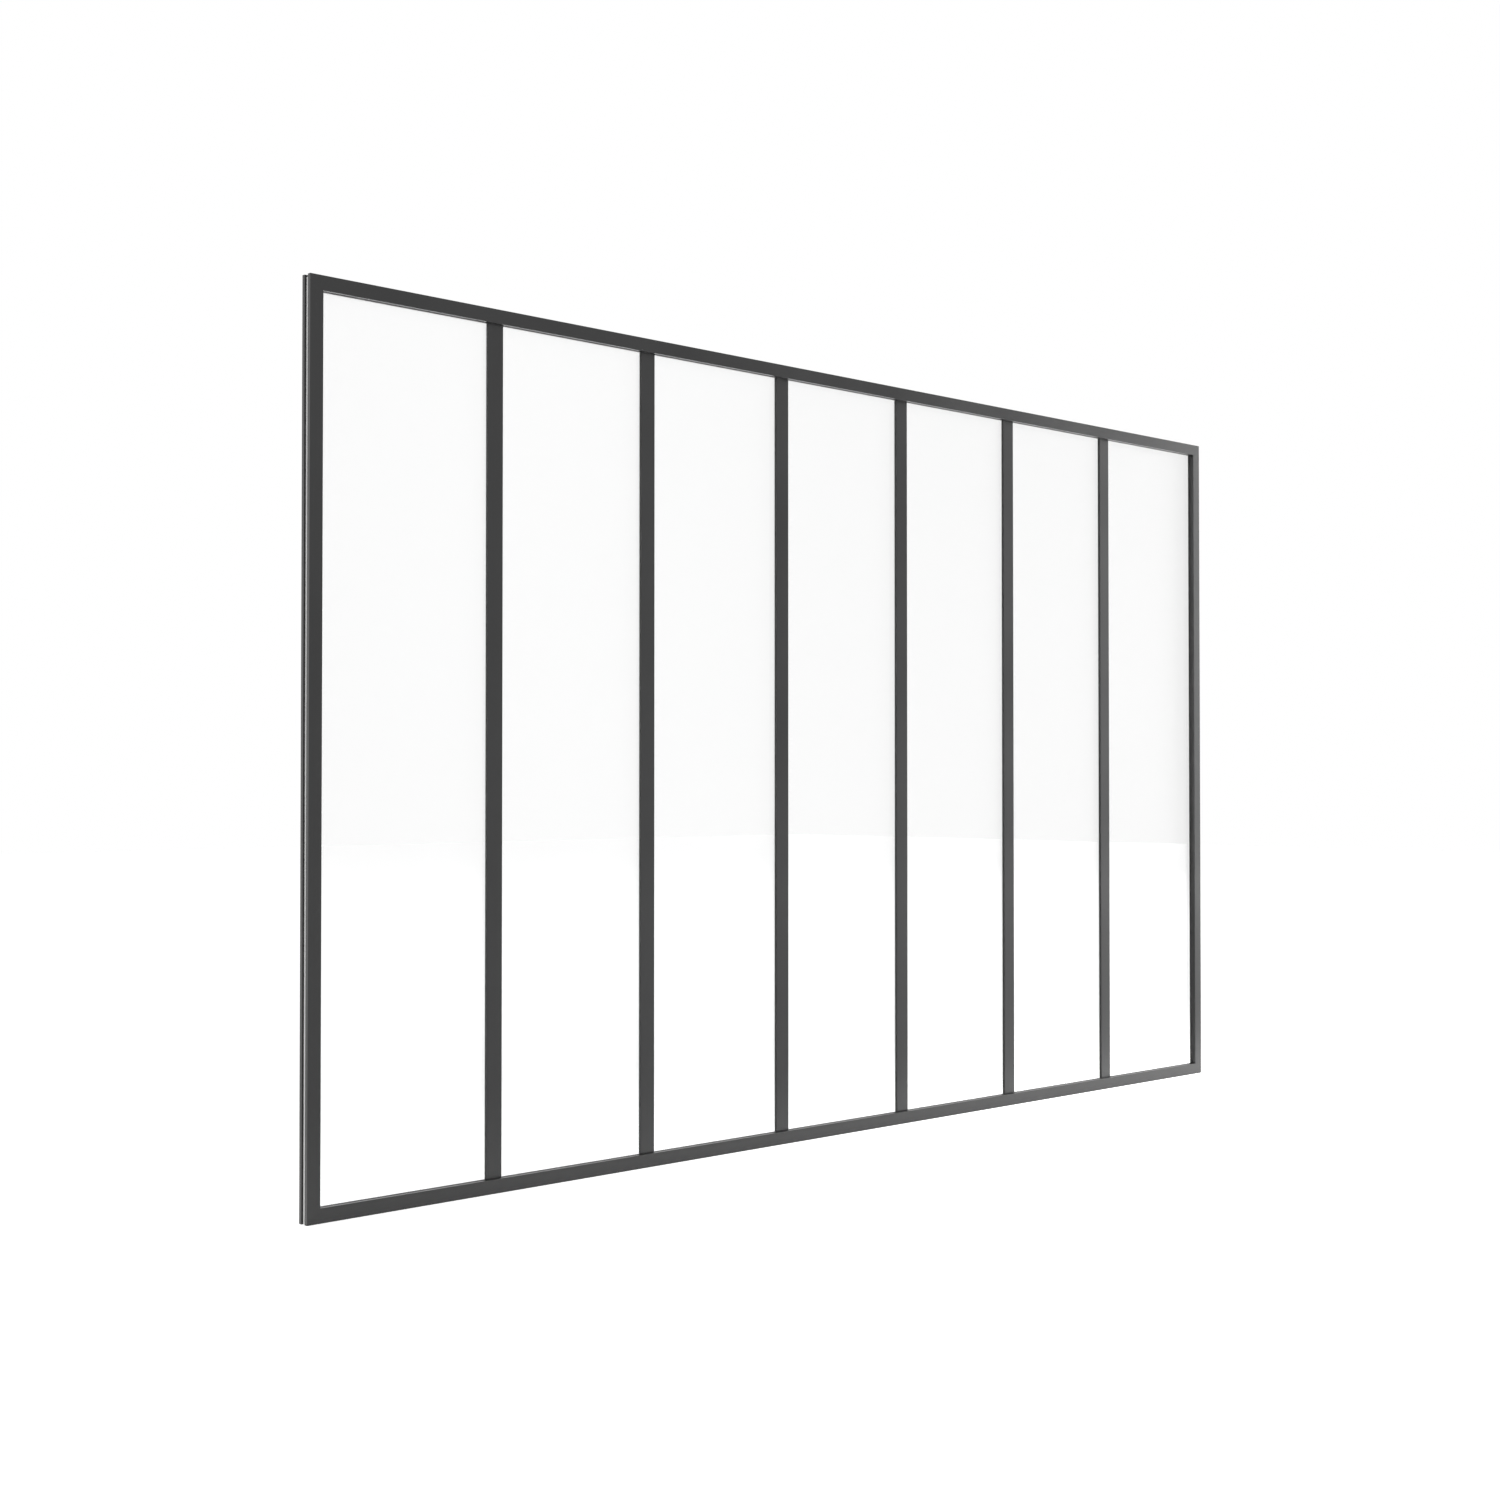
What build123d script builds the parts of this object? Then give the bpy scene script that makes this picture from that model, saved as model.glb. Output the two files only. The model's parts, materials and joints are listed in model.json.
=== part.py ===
from build123d import *
import os

# Glass partition: fixed upright lights in a slim black aluminium frame.
# Millimetres, +Z up. X runs along the partition and the show face looks to -Y.
# The origin is in the middle of the underside, halfway through the frame's depth.

# Overall size
partition_width = 2130.0
partition_height = 1300.0
light_count = 7

# Glass and the rubber that wraps its edges
glass_thickness = 4.0
front_gasket = 3.6
back_gasket = 0.6
gasket_lip = 0.4
glass_edge_gap = 2.6

# Rails and stiles of the front frame
bar_face = 21.0
bar_depth = 6.4
bar_edge_radius = 0.4

# Bevelled beads of the back frame
bead_face = 20.5
bead_flat = 11.0
bead_depth = 6.0
bead_lip = 1.0
bead_edge_radius = 0.4

# Pale grey spacer strips that hold the front and back frames apart
spacer_recess = 3.0
spacer_width = 6.0

# Glazing bars between the lights: a tee in front and a bevelled cover behind
flange_width = 27.0
flange_thickness = 1.8
flange_edge_radius = 0.3
web_thickness = 3.0
web_gap = 1.0
cover_width = 23.0
cover_flat = 13.0
cover_depth = 4.0
cover_lip = 0.8
cope_clearance = 0.2

# Sizes that follow
half_width = partition_width / 2
frame_depth = bar_depth + front_gasket + glass_thickness + back_gasket + bead_depth
front_plane = -frame_depth / 2
back_plane = frame_depth / 2
bar_plane = front_plane + bar_depth
flange_plane = bar_plane + flange_thickness
glass_front = bar_plane + front_gasket
glass_back = glass_front + glass_thickness
bead_plane = glass_back + back_gasket
spacer_edge = spacer_recess + spacer_width
glass_edge = spacer_edge + glass_edge_gap
light_pitch = (partition_width - 2 * bar_face) / light_count
bar_count = light_count - 1


def bar_x(number):
    """Centre line of a glazing bar, counted from the left; 0 and the last are the frame's inner edges."""
    return -half_width + bar_face + number * light_pitch


def upright_sheet(x0, x1, z0, z1, y0, y1):
    """A flat sheet standing in the plane of the partition, from depth y0 to depth y1."""
    outline = Pos((x0 + x1) / 2, (z0 + z1) / 2) * Rectangle(x1 - x0, z1 - z0)
    return extrude(Plane.XZ.offset(-y0) * outline, amount=y1 - y0, dir=(0, 1, 0))


def mitred_bar(section, length, width):
    """A bar along X with its outer edge on z = 0, drawn from (depth, inward) and mitred at both ends."""
    bar = extrude(Plane.YZ.offset(-length / 2) * section, amount=length)
    mitre = Polygon(
        (-length / 2, 0),
        (length / 2, 0),
        (length / 2 - width, width),
        (width - length / 2, width),
        align=None,
    )
    return bar & extrude(Plane.XZ * mitre, amount=frame_depth, both=True)


# Where a bar made along X goes to become each side of a frame
sides = {
    "bottom": (Pos(0, 0, 0), partition_width),
    "top": (Pos(0, 0, partition_height) * Rot(0, 180, 0), partition_width),
    "left": (Pos(-half_width, 0, partition_height / 2) * Rot(0, 90, 0), partition_height),
    "right": (Pos(half_width, 0, partition_height / 2) * Rot(0, -90, 0), partition_height),
}
side_words = {"bottom": "rail", "top": "rail", "left": "stile", "right": "stile"}


def front_section():
    """Flat bar of the front frame, with its two show edges rounded."""
    section = Pos((front_plane + bar_plane) / 2, bar_face / 2) * Rectangle(bar_depth, bar_face)
    show_corners = section.vertices().sort_by(Axis.X)[:2]
    return fillet(show_corners, bar_edge_radius)


def bead_section(margin=0.0):
    """Bead of the back frame: flat outside, falling in a bevel to a low lip at the glass."""
    section = Polygon(
        (bead_plane, 0),
        (back_plane, 0),
        (back_plane, bead_flat),
        (bead_plane + bead_lip, bead_face),
        (bead_plane, bead_face),
        align=None,
    )
    if margin:
        return offset(section, margin, kind=Kind.INTERSECTION)
    back_corners = section.vertices().sort_by(Axis.X)[-2:]
    return fillet(back_corners, bead_edge_radius)


def spacers():
    """Square-cut strips round the edge; the bottom one is flush and carries the partition."""
    reach = half_width - spacer_recess
    top = partition_height - spacer_recess
    inner_top = partition_height - spacer_edge
    depth = (bar_plane, bead_plane)
    return {
        "bottom_spacer": upright_sheet(-reach, reach, 0, spacer_edge, *depth),
        "top_spacer": upright_sheet(-reach, reach, inner_top, top, *depth),
        "left_spacer": upright_sheet(-reach, spacer_edge - half_width, spacer_edge, inner_top, *depth),
        "right_spacer": upright_sheet(half_width - spacer_edge, reach, spacer_edge, inner_top, *depth),
    }


def glazing_bar():
    """Tee between two lights: its flange lies on the glass, its web stands between the panes."""
    flange = Pos(0, (bar_plane + flange_plane) / 2) * Rectangle(flange_width, flange_thickness)
    flange = fillet(flange.vertices().sort_by(Axis.Y)[:2], flange_edge_radius)
    web = Pos(0, (flange_plane + bead_plane) / 2) * Rectangle(web_thickness, bead_plane - flange_plane)
    tee = flange + web
    height = partition_height - 2 * spacer_edge
    return Pos(0, 0, spacer_edge) * extrude(tee, amount=height)


def bar_cover():
    """Bevelled cover behind a glazing bar, its ends coped to the slope of the beads."""
    top = bead_plane + cover_depth
    section = Polygon(
        (-cover_width / 2, bead_plane),
        (cover_width / 2, bead_plane),
        (cover_width / 2, bead_plane + cover_lip),
        (cover_flat / 2, top),
        (-cover_flat / 2, top),
        (-cover_width / 2, bead_plane + cover_lip),
        align=None,
    )
    height = partition_height - 2 * spacer_edge
    cover = Pos(0, 0, spacer_edge) * extrude(section, amount=height)
    cope = extrude(Plane.YZ * bead_section(cope_clearance), amount=cover_width, both=True)
    top_cope = Pos(0, 0, partition_height) * Rot(0, 180, 0) * cope
    return cover - cope - top_cope


def light_edges(number, frame_edge, bar_edge):
    """Left and right edge of a light: in from the frame's outside or out from a bar's centre line."""
    left = frame_edge - half_width if number == 1 else bar_x(number - 1) + bar_edge
    right = half_width - frame_edge if number == light_count else bar_x(number) - bar_edge
    return left, right


def light_sheet(number, frame_edge, bar_edge, y0, y1):
    """A sheet over one light, its edges set from the frame's outside and from the bars."""
    left, right = light_edges(number, frame_edge, bar_edge)
    return upright_sheet(left, right, frame_edge, partition_height - frame_edge, y0, y1)


def glass_pane(number):
    """One sheet of glass, clear of the spacers and of the webs of the glazing bars."""
    return light_sheet(number, glass_edge, web_thickness / 2 + web_gap, glass_front, glass_back)


def flange_room(bar):
    """The room that a glazing bar's flange takes up in front of the gaskets beside it."""
    left = bar_x(bar) - flange_width / 2
    return upright_sheet(left, left + flange_width, 0, partition_height, bar_plane, flange_plane)


def gasket(number):
    """Rubber channel round one pane: a leg on each face of the glass and a strip under its edge."""
    outside = light_sheet(number, spacer_edge, web_thickness / 2, bar_plane, bead_plane)
    front_edges = (bar_face + gasket_lip, flange_width / 2 + gasket_lip)
    back_edges = (bead_face + gasket_lip, cover_width / 2 + gasket_lip)
    front_light = light_sheet(number, *front_edges, bar_plane, glass_front)
    back_light = light_sheet(number, *back_edges, glass_back, bead_plane)
    channel = outside - front_light - glass_pane(number) - back_light
    for bar in (number - 1, number):
        if 0 < bar < light_count:
            channel = channel - flange_room(bar)
    return channel


os.makedirs("parts", exist_ok=True)


def write(name, shape):
    export_step(shape, f"parts/{name}.step")


for side, (place, length) in sides.items():
    write(f"front_{side}_{side_words[side]}", place * mitred_bar(front_section(), length, bar_face))
    write(f"back_{side}_bead", place * mitred_bar(bead_section(), length, bead_face))

for name, strip in spacers().items():
    write(name, strip)

tee = glazing_bar()
cover = bar_cover()
for bar in range(1, bar_count + 1):
    write(f"glazing_bar_{bar}", Pos(bar_x(bar), 0, 0) * tee)
    write(f"bar_cover_{bar}", Pos(bar_x(bar), 0, 0) * cover)

for light in range(1, light_count + 1):
    write(f"glass_pane_{light}", glass_pane(light))
    write(f"gasket_{light}", gasket(light))
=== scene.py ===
import json
import math

import bpy
from mathutils import Euler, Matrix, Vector

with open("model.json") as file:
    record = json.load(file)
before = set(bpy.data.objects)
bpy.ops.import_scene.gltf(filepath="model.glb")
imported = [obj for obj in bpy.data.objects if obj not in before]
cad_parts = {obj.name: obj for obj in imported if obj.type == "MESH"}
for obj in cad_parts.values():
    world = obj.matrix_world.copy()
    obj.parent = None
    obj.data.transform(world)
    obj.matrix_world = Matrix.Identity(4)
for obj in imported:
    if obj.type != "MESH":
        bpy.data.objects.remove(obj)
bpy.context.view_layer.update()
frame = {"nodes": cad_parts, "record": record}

# The photograph's frame and the camera that took it (metres, degrees, pixels of the square frame)
image_side_px = 1500
focal_px = 2073.4
optical_axis_row_px = 744.8
camera_place = (-2.590, -2.4646, 0.606)
camera_turn_right = 43.871
camera_tilt_up = 0.968
sensor_mm = 36.0

# Floor: a pale square just under the sill that also glows a little (metres)
floor_drop = 0.0005
floor_reach = 14.0
floor_white = 0.94
floor_roughness = 0.9
floor_glow_all_over = 0.11

# Painted pools of light on the floor, ovals of stronger glow: "squeeze" multiplies the distance along each
# axis, "reach" is where it fades
floor_painted_light_pools = (
    {"middle": (0.0, 0.0, 0.0), "squeeze": (0.25, 3.0, 1.0), "reach": (0.2, 2.8), "strength": 0.4},
    {"middle": (1.6, -0.1, 0.0), "squeeze": (0.7, 5.0, 1.0), "reach": (0.1, 2.0), "strength": 1.0},
    {"middle": (6.5, -1.2, 0.0), "squeeze": (0.4, 1.0, 1.0), "reach": (0.3, 1.3), "strength": 3.0},
)

# White backdrop, and the dim corner of it that only reflections see
# The corner's bearing is in degrees from -Y towards +X, and core and edge are degrees from its middle
backdrop_white = 1.0
dim_corner_white = 0.1
dim_corner_bearing = 76.0
dim_corner_rise = 8.0
dim_corner_core = 16.0
dim_corner_edge = 40.0

# Panel lights (metres and watts): one for the front faces, one along the panes and one for the left end
side_light = {
    "place": (9.0, -2.66, 3.0),
    "aim": (0.0, -2.66, 3.0),
    "size": (4.32, 6.0),
    "watts": 455.0,
}
edge_light = {
    "place": (12.0, -1.2, 1.3),
    "aim": (0.0, -1.2, 1.3),
    "size": (2.2, 2.4),
    "watts": 930.0,
}
rim_light = {
    "place": (-4.5, 3.0, 0.8),
    "aim": (-1.0, 0.0, 0.65),
    "size": (2.2, 2.6),
    "watts": 28.0,
}

# Values between which most of a noise texture lies
noise_low = 0.3
noise_high = 0.7


class Nodes:
    """Short way to add and join the nodes of one tree."""

    def __init__(self, tree):
        self.tree = tree

    def feed(self, socket, value):
        """Joins a socket to another node's output, or sets it to a plain value."""
        if isinstance(value, bpy.types.NodeSocket):
            self.tree.links.new(value, socket)
        else:
            socket.default_value = value

    def put(self, node, name, value):
        self.feed(node.inputs[name], value)

    def add(self, kind, settings=None, **inputs):
        """Adds a node with its settings; an input's name has an underscore for each space."""
        node = self.tree.nodes.new(kind)
        for name, value in (settings or {}).items():
            setattr(node, name, value)
        for name, value in inputs.items():
            self.put(node, name.replace("_", " "), value)
        return node

    def math(self, operation, *values):
        node = self.add("ShaderNodeMath", {"operation": operation})
        for socket, value in zip(node.inputs, values):
            self.feed(socket, value)
        return node.outputs["Value"]

    def vector(self, operation, *values, result="Vector"):
        node = self.add("ShaderNodeVectorMath", {"operation": operation})
        for socket, value in zip(node.inputs, values):
            self.feed(socket, value)
        return node.outputs[result]

    def remap(self, value, source, target, curve="LINEAR"):
        """Maps one range of values onto another, held at its ends."""
        node = self.add("ShaderNodeMapRange", {"interpolation_type": curve}, Value=value)
        for name, number in zip(("From Min", "From Max", "To Min", "To Max"), source + target):
            self.put(node, name, number)
        return node.outputs["Result"]

    def mix_colour(self, share, first, second):
        node = self.add("ShaderNodeMix", {"data_type": "RGBA"}, Factor=share)
        colours = [socket for socket in node.inputs if socket.type == "RGBA"]
        for socket, value in zip(colours, (first, second)):
            self.feed(socket, value)
        return next(socket for socket in node.outputs if socket.type == "RGBA")


def surface_variation_group():
    """Fine grain and slow drift over a surface, both as values about one half."""
    tree = bpy.data.node_groups.new("surface_variation", "ShaderNodeTree")
    for name, value in (("Grain Size", 0.002), ("Drift Size", 0.2), ("Stretch", 1.0)):
        socket = tree.interface.new_socket(name, in_out="INPUT", socket_type="NodeSocketFloat")
        socket.default_value = value
    for name in ("Grain", "Drift"):
        tree.interface.new_socket(name, in_out="OUTPUT", socket_type="NodeSocketFloat")
    n = Nodes(tree)
    given = n.add("NodeGroupInput").outputs
    out = n.add("NodeGroupOutput")
    place = n.add("ShaderNodeTexCoord").outputs["Object"]
    stretch = n.add("ShaderNodeCombineXYZ", X=given["Stretch"], Y=1.0, Z=given["Stretch"])
    drawn_out = n.vector("DIVIDE", place, stretch.outputs["Vector"])
    grain_scale = n.math("DIVIDE", 1.0, given["Grain Size"])
    grain = n.add("ShaderNodeTexNoise", Vector=drawn_out, Scale=grain_scale, Detail=3.0, Roughness=0.6)
    drift_scale = n.math("DIVIDE", 1.0, given["Drift Size"])
    drift = n.add("ShaderNodeTexNoise", Vector=place, Scale=drift_scale, Detail=2.0)
    n.put(out, "Grain", grain.outputs[0])
    n.put(out, "Drift", drift.outputs[0])
    return tree


surface_variation = surface_variation_group()


def start_material(name):
    """A material with one Principled shader, and the helper that adds its other nodes."""
    material = bpy.data.materials.new(name)
    material.use_nodes = True
    n = Nodes(material.node_tree)
    shader = material.node_tree.nodes["Principled BSDF"]
    return material, n, shader


def place_variation(n, grain_size, drift_size, stretch=1.0):
    """Grain and drift at a material's own sizes in metres, the grain drawn out along X and Z."""
    group = n.add("ShaderNodeGroup", {"node_tree": surface_variation})
    n.put(group, "Grain Size", grain_size)
    n.put(group, "Drift Size", drift_size)
    n.put(group, "Stretch", stretch)
    return group.outputs["Grain"], group.outputs["Drift"]


def ranged(n, noise, low, high):
    """Spreads the middle values of a noise over a range."""
    return n.remap(noise, (noise_low, noise_high), (low, high))


def roughen(n, shader, height, strength, distance):
    """Fine relief on a surface, as a bump."""
    bump = n.add("ShaderNodeBump", Strength=strength, Distance=distance, Height=height)
    n.put(shader, "Normal", bump.outputs["Normal"])


def satin_powder_coat():
    """Near-black satin powder coat with its fine orange peel."""
    material, n, shader = start_material("satin_powder_coat")
    grain, drift = place_variation(n, grain_size=0.0012, drift_size=0.25)
    darkest = (0.005, 0.005, 0.0052, 1)
    palest = (0.008, 0.008, 0.0083, 1)
    n.put(shader, "Base Color", n.mix_colour(ranged(n, drift, low=0.0, high=1.0), darkest, palest))
    n.put(shader, "Roughness", ranged(n, drift, low=0.3, high=0.37))
    n.put(shader, "Specular IOR Level", 0.42)
    n.put(shader, "Coat Weight", 0.7)
    n.put(shader, "Coat IOR", 1.25)
    n.put(shader, "Coat Roughness", 0.1)
    roughen(n, shader, height=grain, strength=0.12, distance=0.0002)
    return material


def pale_plastic():
    """Pale grey extruded plastic strip with faint lines drawn along it."""
    material, n, shader = start_material("pale_plastic")
    grain, drift = place_variation(n, grain_size=0.0006, drift_size=0.12, stretch=60.0)
    darkest = (0.61, 0.61, 0.605, 1)
    palest = (0.67, 0.67, 0.665, 1)
    n.put(shader, "Base Color", n.mix_colour(ranged(n, drift, low=0.0, high=1.0), darkest, palest))
    n.put(shader, "Roughness", ranged(n, grain, low=0.4, high=0.52))
    roughen(n, shader, height=grain, strength=0.1, distance=0.0001)
    return material


def black_rubber():
    """Extruded black rubber with a dull sheen."""
    material, n, shader = start_material("black_rubber")
    grain, drift = place_variation(n, grain_size=0.0008, drift_size=0.06)
    darkest = (0.006, 0.006, 0.006, 1)
    palest = (0.011, 0.011, 0.011, 1)
    n.put(shader, "Base Color", n.mix_colour(drift, darkest, palest))
    n.put(shader, "Roughness", ranged(n, grain, low=0.38, high=0.5))
    roughen(n, shader, height=grain, strength=0.15, distance=0.0002)
    return material


def clear_glass():
    """Clear float glass with faint smears, and a thin film on it that catches light from the side."""
    material, n, shader = start_material("clear_glass")
    grain, drift = place_variation(n, grain_size=0.02, drift_size=0.35)
    n.put(shader, "Base Color", (0.96, 0.961, 0.96, 1))
    n.put(shader, "Transmission Weight", 1.0)
    n.put(shader, "IOR", 1.5)
    n.put(shader, "Coat Weight", 1.0)
    n.put(shader, "Coat Roughness", 0.65)
    smears = n.math("MULTIPLY", grain, drift)
    n.put(shader, "Roughness", ranged(n, smears, low=0.0, high=0.012))
    return material


finishes = {
    "frame_paint": satin_powder_coat(),
    "spacer_plastic": pale_plastic(),
    "gasket_rubber": black_rubber(),
    "clear_glass": clear_glass(),
}


def finish_cad_pieces():
    """Gives every CAD piece the finish of its slot in the record."""
    for piece in frame["record"]["subparts"]:
        mesh = frame["nodes"][piece["node"]].data
        mesh.materials.clear()
        mesh.materials.append(finishes[piece["material_slot"]])


def painted_light_pool(n, middle, squeeze, reach, strength):
    """A painted pool of light: an oval of glow that fades out between two distances from its middle."""
    place = n.add("ShaderNodeTexCoord").outputs["Object"]
    squeezed = n.vector("MULTIPLY", n.vector("SUBTRACT", place, middle), squeeze)
    away = n.vector("LENGTH", squeezed, result="Value")
    return n.remap(away, reach, (strength, 0.0), curve="SMOOTHSTEP")


def studio_white():
    """Matt white of the floor, with an even glow and painted pools of light that stand in for light
    falling on it from outside the picture.
    """
    material, n, shader = start_material("studio_white")
    n.put(shader, "Base Color", (floor_white, floor_white, floor_white, 1))
    n.put(shader, "Roughness", floor_roughness)
    n.put(shader, "Specular IOR Level", 0.0)
    n.put(shader, "Emission Strength", 1.0)
    glow = floor_glow_all_over
    # The painted pools of light are added on top of the even glow
    for patch in floor_painted_light_pools:
        glow = n.math("ADD", painted_light_pool(n, **patch), glow)
    n.put(shader, "Emission Color", glow)
    return material


def add_floor():
    """A plain square floor round the partition."""
    signs = ((-1, -1), (1, -1), (1, 1), (-1, 1))
    corners = [(x * floor_reach, y * floor_reach, -floor_drop) for x, y in signs]
    mesh = bpy.data.meshes.new("studio_floor")
    mesh.from_pydata(corners, [], [(0, 1, 2, 3)])
    mesh.materials.append(studio_white())
    floor = bpy.data.objects.new("studio_floor", mesh)
    bpy.context.scene.collection.objects.link(floor)


def add_world():
    """White all round for what is seen straight or through glass, with a dim corner for reflections."""
    world = bpy.data.worlds.new("studio_air")
    bpy.context.scene.world = world
    world.use_nodes = True
    n = Nodes(world.node_tree)
    bearing = math.radians(dim_corner_bearing)
    rise = math.radians(dim_corner_rise)
    corner_way = (
        math.sin(bearing) * math.cos(rise),
        -math.cos(bearing) * math.cos(rise),
        math.sin(rise),
    )
    ray_way = n.add("ShaderNodeTexCoord").outputs["Generated"]
    closeness = n.vector("DOT_PRODUCT", ray_way, corner_way, result="Value")
    edge_to_core = (math.cos(math.radians(dim_corner_edge)), math.cos(math.radians(dim_corner_core)))
    reflected = n.remap(closeness, edge_to_core, (backdrop_white, dim_corner_white), curve="SMOOTHSTEP")
    path = n.add("ShaderNodeLightPath").outputs
    bounces = n.math("ADD", path["Glossy Depth"], path["Diffuse Depth"])
    straight = n.math("SUBTRACT", 1.0, n.math("MINIMUM", bounces, 1.0))
    seen = n.math("MAXIMUM", n.math("MULTIPLY", straight, backdrop_white), reflected)
    background = world.node_tree.nodes["Background"]
    n.put(background, "Color", (1, 1, 1, 1))
    n.put(background, "Strength", seen)


def add_panel_light(name, place, aim, size, watts):
    """A flat rectangular lamp that faces the point it is aimed at."""
    light = bpy.data.lights.new(name, "AREA")
    light.shape = "RECTANGLE"
    light.size, light.size_y = size
    light.energy = watts
    lamp = bpy.data.objects.new(name, light)
    lamp.location = place
    lamp.rotation_euler = (Vector(aim) - Vector(place)).to_track_quat("-Z", "Y").to_euler()
    bpy.context.scene.collection.objects.link(lamp)
    return lamp


def light_panes_only(lamp):
    """Keeps a lamp's light to the glass, so that it does not flare on the ends of the frame."""
    panes = bpy.data.collections.new("lit_panes")
    for piece in frame["record"]["subparts"]:
        if piece["material_slot"] == "clear_glass":
            panes.objects.link(frame["nodes"][piece["node"]])
    lamp.light_linking.receiver_collection = panes


def add_camera():
    """The photograph's camera, from the values measured in it."""
    data = bpy.data.cameras.new("photo_camera")
    data.sensor_width = sensor_mm
    data.lens = focal_px / image_side_px * sensor_mm
    data.shift_y = (optical_axis_row_px - image_side_px / 2) / image_side_px
    camera = bpy.data.objects.new("photo_camera", data)
    camera.location = camera_place
    camera.rotation_euler = Euler((math.radians(90 + camera_tilt_up), 0, -math.radians(camera_turn_right)))
    bpy.context.scene.collection.objects.link(camera)
    bpy.context.scene.camera = camera


finish_cad_pieces()
add_floor()
add_world()
add_panel_light("side_light", **side_light)
light_panes_only(add_panel_light("edge_light", **edge_light))
add_panel_light("rim_light", **rim_light)
add_camera()
bpy.context.scene.view_settings.view_transform = "Standard"
